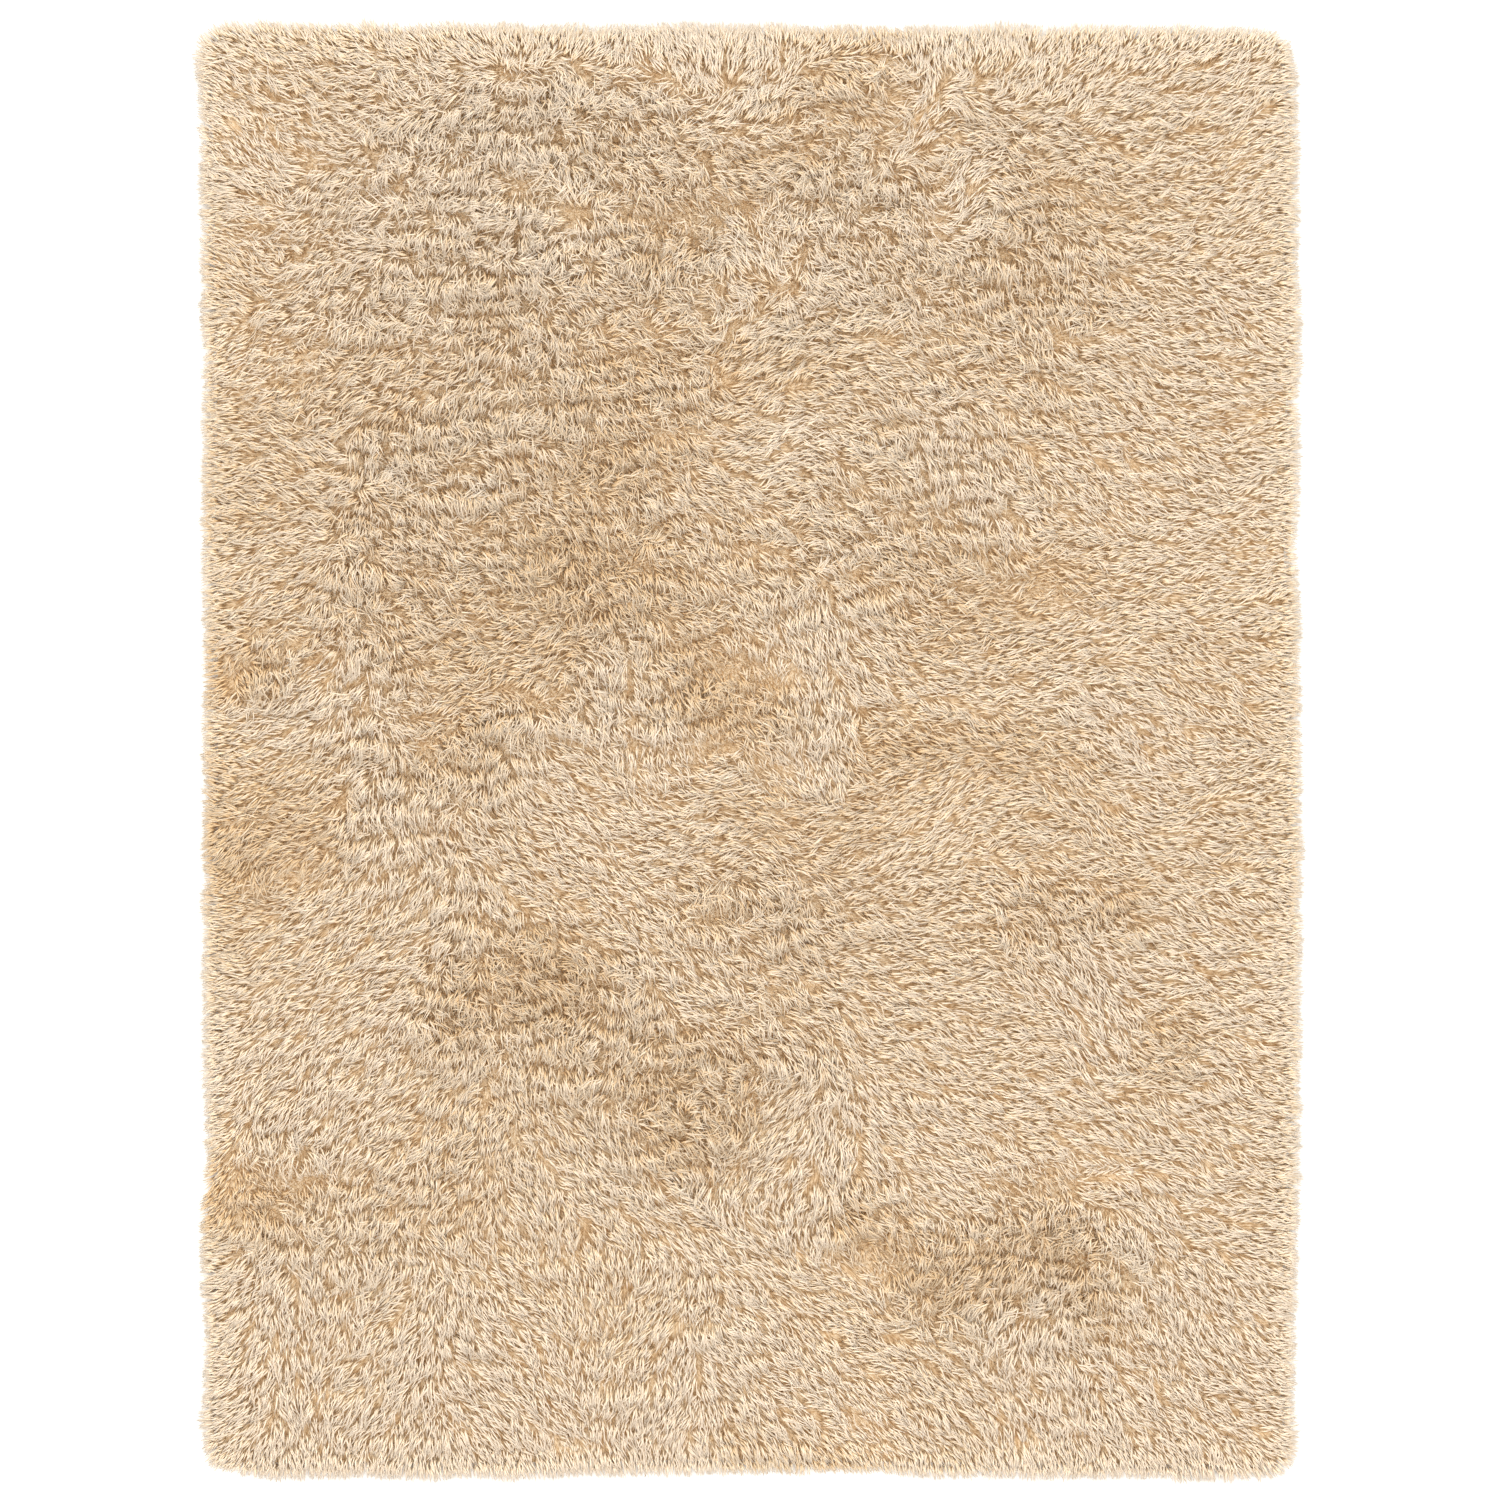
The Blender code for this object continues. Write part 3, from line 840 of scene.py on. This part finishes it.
def strand_skin():
    """Silky cream fibre, painted brown toward the root as shade deep in the pile, in 64 shades side
    by side.
    """
    material, tree, shader = plain_material("silky_strand", STRAND_SHINE)
    skin = add_node(tree, "ShaderNodeUVMap", {}, uv_map="OFBake")
    column, along = split_up(tree, skin.outputs["UV"])[:2]
    column = column * SHADES
    shade = column.step("FLOOR") / (SHADES - 1)
    fibre_place = join_up(tree, column.step("FRACT") * 15.0, along * 3.0, shade * 90.0)
    streak = speckle(tree, fibre_place, 1.0, 3.0)
    base = colour_ramp(tree, along + streak * 0.70 + shade * 0.15 - 0.425, SHADED_ROOT_TO_TIP)
    hue = add_node(
        tree, "ShaderNodeTexWhiteNoise", {"W": column.step("FLOOR")}, noise_dimensions="1D"
    )
    tint = colour_ramp(tree, hue.outputs["Value"], TINTS)
    shaded = multiplied(tree, multiplied(tree, base, tint), colour_ramp(tree, shade, DARK_TO_PALE))
    feed(tree, shader.inputs["Base Color"], shaded)
    feed(tree, shader.inputs["Roughness"], streak * 0.25 + 0.42)
    raise_bump(tree, shader, streak, STRAND_RELIEF, 0.5)
    return material


def mark(tree, name, data_type="FLOAT"):
    """Reads a mark written on the points."""
    node = add_node(tree, "GeometryNodeInputNamedAttribute", {"Name": name}, data_type=data_type)
    return Field(tree, node.outputs["Attribute"])


def write_mark(tree, geometry, name, value, data_type="FLOAT", domain="POINT"):
    """Writes a mark on the points, and gives the marked geometry."""
    node = add_node(
        tree,
        "GeometryNodeStoreNamedAttribute",
        {"Geometry": geometry, "Name": name, "Value": value},
        data_type=data_type,
        domain=domain,
    )
    return node.outputs["Geometry"]


def by_chance(tree, low, high, seed):
    """A number between two others that differs from point to point, from a fixed seed."""
    entries = {2: low, 3: high, "Seed": seed}
    node = add_node(tree, "FunctionNodeRandomValue", entries, data_type="FLOAT")
    return Field(tree, node.outputs[1])


def either_way(tree, most, seed):
    """A number up to the given one either way, that differs from point to point."""
    return by_chance(tree, -most, most, seed)


STRAND_SIDES = 3
STRAND_STEPS = 2
SWELL = (0.35, 0.6, 1.35)   # how a strand swells from its root, thins to its tip, and how much
STEP_POWER = 1.3            # how much closer to its root than to its tip its steps stand
WELD = 0.001                # its ends are welded to points within this share of its length


def one_strand(tree):
    """A closed three-sided spindle one unit long, with its widest place a quarter of the way up."""
    rod = add_node(
        tree,
        "GeometryNodeMeshCylinder",
        {"Vertices": STRAND_SIDES, "Side Segments": STRAND_STEPS, "Radius": 1.0, "Depth": 1.0},
        fill_type="NGON",
    )
    marked = write_mark(
        tree, rod.outputs["Mesh"], "OFBake", rod.outputs["UV Map"], "FLOAT2", "CORNER"
    )
    x, y, z = split_up(tree, add_node(tree, "GeometryNodeInputPosition", {}).outputs[0])
    share = z + 0.5
    root_power, tip_power, most = SWELL
    swell = share ** root_power * share.rest() ** tip_power * most
    spindle = join_up(tree, x * swell, y * swell, share ** STEP_POWER)
    shaped = add_node(
        tree, "GeometryNodeSetPosition", {"Geometry": marked, "Position": spindle}
    )
    closed = add_node(
        tree, "GeometryNodeMergeByDistance", {"Geometry": shaped.outputs[0], "Distance": WELD}
    )
    place = add_node(tree, "GeometryNodeInputPosition", {}).outputs[0]
    return write_mark(tree, closed.outputs[0], "skin", place, "FLOAT_VECTOR")


CLUMPS_AT_MOST = 4000.0     # in a square metre
MORE_AT_RIM = 0.6           # by what shares the strands stand closer or less close
MORE_AT_SPREAD = 0.8
FEWER_IN_PARTING = 0.6
FEWER_WHERE_LAID = 0.3
STANDING_SHARE = 1.17
CLUMP_LEAN = 0.5            # what a strand takes of its clump's lean and heading, not its own
CLUMP_HEADING = 0.6
RIM_CALM = 0.75             # how much less the strands differ from each other at the rim
RUFFLE_WAVE = 0.16          # how far the ruffles wander up and down, and how often in a metre
RUFFLE_WAVE_OFTEN = 6.0
RUFFLE_PATCHES = (9.0, 22.0)    # how often in a metre the ruffles come and go, across and along
RUFFLE_FROM = 0.36          # how much of the pile has none, and how sharply they begin
RUFFLE_START = 7.0
RUFFLE_NOD = 1.3
RUFFLE_LIFT = 0.3
CLUMP_TURN = 2.2            # how far standing clumps turn from the combing, and laid ones
LAID_CLUMP_TURN = 0.24
LAID_OWN_TURN = 0.19        # and how far each strand does from its clump
ROOT_TILT = 0.30            # how far a strand leans at its root, in radians, and what adds to it
LAID_TILT = 0.58
RIM_TILT = 0.30
BEND = 1.20                 # how far it bends over on its way to the tip
LAID_BEND = -0.25
RIM_BEND = 0.35
LOWEST = 0.0016             # the heights that the middle line of a strand keeps between
HIGHEST = 0.054
SKIN_LOWEST = 0.0004        # and the lowest place of its skin
GATHER_POWER = 1.4          # how late on its way up a strand turns to its clump
HALF_SHARE = 0.55           # its half width as a share of its width, and its thickness of that
THICK_SHARE = 0.60


def clumps_and_roots(tree, given):
    """The middles of the clumps, and the roots of the strands of one band."""
    bed = given["Geometry"]
    bare = add_node(tree, "GeometryNodeInputNamedAttribute", {"Name": "bare"}, data_type="BOOLEAN")
    tufted = add_node(
        tree, "FunctionNodeBooleanMath", {0: bare.outputs["Attribute"]}, operation="NOT"
    )
    clumps = add_node(
        tree,
        "GeometryNodeDistributePointsOnFaces",
        {
            "Mesh": bed,
            "Selection": tufted.outputs[0],
            "Distance Min": given["Clump spacing"],
            "Density Max": CLUMPS_AT_MOST,
            "Seed": given["Seed"],
        },
        distribute_method="POISSON",
    )
    density = Field(tree, given["Strands per square metre"])
    density = density * (mark(tree, "rim") * MORE_AT_RIM + 1.0)
    density = density * (mark(tree, "parting") * -FEWER_IN_PARTING + 1.0)
    density = density * (mark(tree, "spread") * MORE_AT_SPREAD + 1.0)
    density = density * (mark(tree, "lean") * -FEWER_WHERE_LAID + STANDING_SHARE)
    roots = add_node(
        tree,
        "GeometryNodeDistributePointsOnFaces",
        {"Mesh": bed, "Selection": tufted.outputs[0], "Density": density, "Seed": given["Seed"]},
        distribute_method="RANDOM",
    )
    y = split_up(tree, add_node(tree, "GeometryNodeInputPosition", {}).outputs[0])[1]
    before = add_node(
        tree, "FunctionNodeCompare", {0: y, 1: given["From"]}, operation="LESS_THAN"
    )
    beyond = add_node(
        tree, "FunctionNodeCompare", {0: y, 1: given["To"]}, operation="GREATER_EQUAL"
    )
    outside = add_node(
        tree,
        "FunctionNodeBooleanMath",
        {0: before.outputs[0], 1: beyond.outputs[0]},
        operation="OR",
    )
    band = add_node(
        tree,
        "GeometryNodeDeleteGeometry",
        {"Geometry": roots.outputs["Points"], "Selection": outside.outputs[0]},
        domain="POINT",
    )
    return clumps.outputs["Points"], band.outputs[0]


def strand_marks(tree, given, clump_points, points):
    """The roots, marked with how each strand turns, leans, bends and looks."""
    place = add_node(tree, "GeometryNodeInputPosition", {}).outputs[0]
    x, y = split_up(tree, place)[:2]
    nearest = add_node(
        tree, "GeometryNodeSampleNearest", {"Geometry": clump_points}, domain="POINT"
    ).outputs["Index"]

    def of_clump(value, data_type="FLOAT"):
        """What the nearest clump has of a value."""
        node = add_node(
            tree,
            "GeometryNodeSampleIndex",
            {"Geometry": clump_points, "Value": value, "Index": nearest},
            data_type=data_type,
            domain="POINT",
        )
        return Field(tree, node.outputs["Value"])

    def partly_of_clump(name, share):
        """A mark that is partly the clump's and partly the strand's own."""
        return of_clump(mark(tree, name)) * share + mark(tree, name) * (1.0 - share)

    clump_x, clump_y = split_up(tree, of_clump(place, "FLOAT_VECTOR"))[:2]
    lean = partly_of_clump("lean", CLUMP_LEAN)
    way_x = partly_of_clump("heading_x", CLUMP_HEADING)
    way_y = partly_of_clump("heading_y", CLUMP_HEADING)
    rim = mark(tree, "rim")
    upright = lean.rest()
    inward = rim * -RIM_CALM + 1.0

    # Pile left standing falls over in short ruffles, long and lifted at their lower edge
    wave = speckle(tree, place, RUFFLE_WAVE_OFTEN, 1.0)
    level = (y + (wave - 0.5) * RUFFLE_WAVE) / given["Ruffle spacing"]
    fall = level.step("FRACT").rest()
    patches_across, patches_along = RUFFLE_PATCHES
    patch = speckle(tree, join_up(tree, x * patches_across, y * patches_along, 2.0), 1.0, 0.0)
    patch = ((patch - RUFFLE_FROM) * RUFFLE_START).between(0.0, 1.0)
    ruffle = patch * (upright * 1.5).step("MINIMUM", 1.0) * rim.rest()
    way_y = way_y - ruffle * upright * upright * RUFFLE_NOD
    gathered = ruffle * (fall - 0.5)

    # How far a strand turns, leans and bends, and how long, wide and pale it is
    pull = Field(tree, given["Clump pull"])
    unruly = upright * upright
    clump_turn = unruly * CLUMP_TURN * (ruffle * -0.8 + 1.0) + LAID_CLUMP_TURN
    clump_turn = clump_turn * (rim * -0.8 + 1.0) * of_clump(either_way(tree, 1.0, 11))
    own_turn = unruly * (ruffle * -0.5 + 1.0) + LAID_OWN_TURN
    own_turn = either_way(tree, 1.0, 12) * own_turn
    heading = way_y.step("ARCTAN2", way_x) + clump_turn + own_turn
    tilt = lean * LAID_TILT + ROOT_TILT + either_way(tree, 0.12, 13) + rim * RIM_TILT
    tilt = tilt + of_clump(either_way(tree, 0.10, 14)) * (upright + 1.0) * inward
    tilt = tilt - gathered * RUFFLE_LIFT
    bend = lean * LAID_BEND + BEND + either_way(tree, 0.30, 15) + rim * RIM_BEND
    long = Field(tree, given["Strand length"]) * (by_chance(tree, -0.28, 0.18, 16) * inward + 1.0)
    long = long * of_clump(by_chance(tree, 0.93, 1.07, 17))
    long = long * (mark(tree, "parting") * -0.3 + 1.0) * (rim * -0.05 + upright * 0.10 + 1.0)
    long = long * (mark(tree, "tuft") * (upright * 0.35 + 0.10) + 1.0)
    wide = Field(tree, given["Strand width"]) * by_chance(tree, 0.75, 1.2, 18)
    shade = by_chance(tree, 0.16, 0.84, 19) + of_clump(either_way(tree, 0.07, 20))
    # Painted light and shade: paler on the crests of the tufts, darker in the hollows between them
    shade = shade + mark(tree, "tuft") * (upright * 0.20 + 0.05)
    # Painted shade in the creases of the ruffles, and painted light on their lifted lower edges
    shade = shade + mark(tree, "pale") * 1.5 + gathered * 0.35

    # A lock draws its strands in across the way they lie, much less along it
    turn_x, turn_y = heading.step("COSINE"), heading.step("SINE")
    off_x, off_y = clump_x - x, clump_y - y
    beside = off_y * turn_x - off_x * turn_y
    ahead = (off_x * turn_x + off_y * turn_y) * (upright * 0.8 + 0.1)
    crest_x = mark(tree, "crest_x") * (upright + 0.3)
    crest_y = mark(tree, "crest_y") * (upright + 0.3)
    crest_y = crest_y + gathered * Field(tree, given["Ruffle spacing"])
    to_clump = join_up(
        tree,
        ((turn_x * ahead - turn_y * beside) * pull + crest_x) * inward,
        ((turn_y * ahead + turn_x * beside) * pull + crest_y) * inward,
        0.0,
    )
    for name, value in (
        ("heading", heading),
        ("tilt", tilt),
        ("bend", bend),
        ("length", long),
        ("width", wide),
        ("sway", either_way(tree, 0.22, 21)),
        ("arch", either_way(tree, 0.25, 22) + of_clump(either_way(tree, 0.35, 23))),
        ("shade", shade.between(0.0, 0.999)),
    ):
        points = write_mark(tree, points, name, value)
    points = write_mark(tree, points, "root", place, "FLOAT_VECTOR")
    return write_mark(tree, points, "to_clump", to_clump, "FLOAT_VECTOR")


def bent_strands(tree, points):
    """A strand on every root, bent over as it was combed."""
    strands = add_node(
        tree, "GeometryNodeInstanceOnPoints", {"Points": points, "Instance": one_strand(tree)}
    )
    plain = add_node(tree, "GeometryNodeRealizeInstances", {"Geometry": strands.outputs[0]})
    skin_x, skin_y, along = split_up(tree, mark(tree, "skin", "FLOAT_VECTOR"))
    root_x, root_y, root_z = split_up(tree, mark(tree, "root", "FLOAT_VECTOR"))
    pull_x, pull_y = split_up(tree, mark(tree, "to_clump", "FLOAT_VECTOR"))[:2]
    tilt, bend, long = mark(tree, "tilt"), mark(tree, "bend"), mark(tree, "length")
    heading_x, heading_y = mark(tree, "heading").step("COSINE"), mark(tree, "heading").step("SINE")
    here = tilt + bend * along
    outward = long * (tilt.step("COSINE") - here.step("COSINE")) / bend
    upward = long * (here.step("SINE") - tilt.step("SINE")) / bend
    arched = mark(tree, "arch") * along * along.rest()
    aside = long * (mark(tree, "sway") * along * along + arched)
    gather = along ** GATHER_POWER
    half = mark(tree, "width") * HALF_SHARE
    thick = half * THICK_SHARE
    across = skin_y * half
    through = skin_x * thick * -1.0
    slant, steep = here.step("COSINE") * -1.0, here.step("SINE")
    axis_z = (root_z + upward).between(LOWEST, HIGHEST)
    bent_x = root_x + heading_x * (outward + through * slant) - heading_y * (aside + across)
    bent_y = root_y + heading_y * (outward + through * slant) + heading_x * (aside + across)
    bent_z = (axis_z + through * steep).step("MAXIMUM", SKIN_LOWEST)
    shaped = add_node(
        tree,
        "GeometryNodeSetPosition",
        {
            "Geometry": plain.outputs[0],
            "Position": join_up(tree, bent_x + pull_x * gather, bent_y + pull_y * gather, bent_z),
        },
    )

    # The strand's shade goes across its map, and its length up it
    around = split_up(tree, mark(tree, "OFBake", "FLOAT_VECTOR"))[0]
    column = (mark(tree, "shade") * SHADES).step("FLOOR") + around * (1.0 - 2.0 * SHADE_EDGE)
    column = (column + SHADE_EDGE) / SHADES
    map_place = join_up(tree, column, along, 0.0)
    return write_mark(tree, shaped.outputs[0], "OFBake", map_place, "FLOAT2", "CORNER")


def pile_tree(material):
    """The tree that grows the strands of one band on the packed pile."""
    tree = bpy.data.node_groups.new("combed_pile", "GeometryNodeTree")
    for kind, names in (
        ("NodeSocketGeometry", ("Geometry",)),
        ("NodeSocketFloat", ("Strands per square metre", "Strand length", "Strand width")),
        ("NodeSocketFloat", ("Clump spacing", "Clump pull", "Ruffle spacing", "From", "To")),
        ("NodeSocketInt", ("Seed",)),
    ):
        for name in names:
            tree.interface.new_socket(name, in_out="INPUT", socket_type=kind)
    tree.interface.new_socket("Geometry", in_out="OUTPUT", socket_type="NodeSocketGeometry")
    given = tree.nodes.new("NodeGroupInput").outputs
    clump_points, roots = clumps_and_roots(tree, given)
    strands = bent_strands(tree, strand_marks(tree, given, clump_points, roots))
    smooth = add_node(tree, "GeometryNodeSetShadeSmooth", {"Geometry": strands})
    whole = add_node(tree, "GeometryNodeRealizeInstances", {"Geometry": smooth.outputs[0]})
    finished = add_node(
        tree, "GeometryNodeSetMaterial", {"Geometry": whole.outputs[0], "Material": material}
    )
    result = tree.nodes.new("NodeGroupOutput")
    tree.links.new(finished.outputs[0], result.inputs["Geometry"])
    return tree


CLUMP_SPACING = 0.0105
CLUMP_PULL = 0.75
RUFFLE_SPACING = 0.028
PILE_SEED = 7
BANDS = (-1.20, -0.65, -0.22, 0.22, 0.65, 1.20)     # where, along the rug, the bands meet


def grow_band(name, tree, start, end):
    """One band of the pile, as a plain mesh of its own."""
    bed = packed_pile.data.copy()
    bed.materials.clear()
    band = bpy.data.objects.new(name, bed)
    bpy.context.scene.collection.objects.link(band)
    growth = band.modifiers.new("combed_pile", "NODES")
    growth.node_group = tree
    wanted = {
        "Strands per square metre": STRANDS_PER_SQUARE_METRE,
        "Strand length": STRAND_LENGTH,
        "Strand width": STRAND_WIDTH,
        "Clump spacing": CLUMP_SPACING,
        "Clump pull": CLUMP_PULL,
        "Ruffle spacing": RUFFLE_SPACING,
        "Seed": PILE_SEED,
        "From": start,
        "To": end,
    }
    for item in tree.interface.items_tree:
        if item.in_out == "INPUT" and item.name in wanted:
            growth[item.identifier] = wanted[item.name]
    grown = bpy.data.meshes.new_from_object(
        band.evaluated_get(bpy.context.evaluated_depsgraph_get())
    )
    band.modifiers.remove(growth)
    band.data = grown
    grown.name = name
    for mark_name in [each.name for each in grown.attributes if not each.name.startswith(".")]:
        if mark_name not in ("position", "material_index", "OFBake"):
            grown.attributes.remove(grown.attributes[mark_name])
    return band


combed_pile = pile_tree(strand_skin())
bands = [
    grow_band(f"long_strands_{number}", combed_pile, start, end)
    for number, (start, end) in enumerate(zip(BANDS, BANDS[1:]), 1)
]
for band in bands:
    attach(band, "root")
for mark_name in ("pale", "spread", "rim", "tuft", "crest_x", "crest_y", "parting", "bare"):
    packed_pile.data.attributes.remove(packed_pile.data.attributes[mark_name])
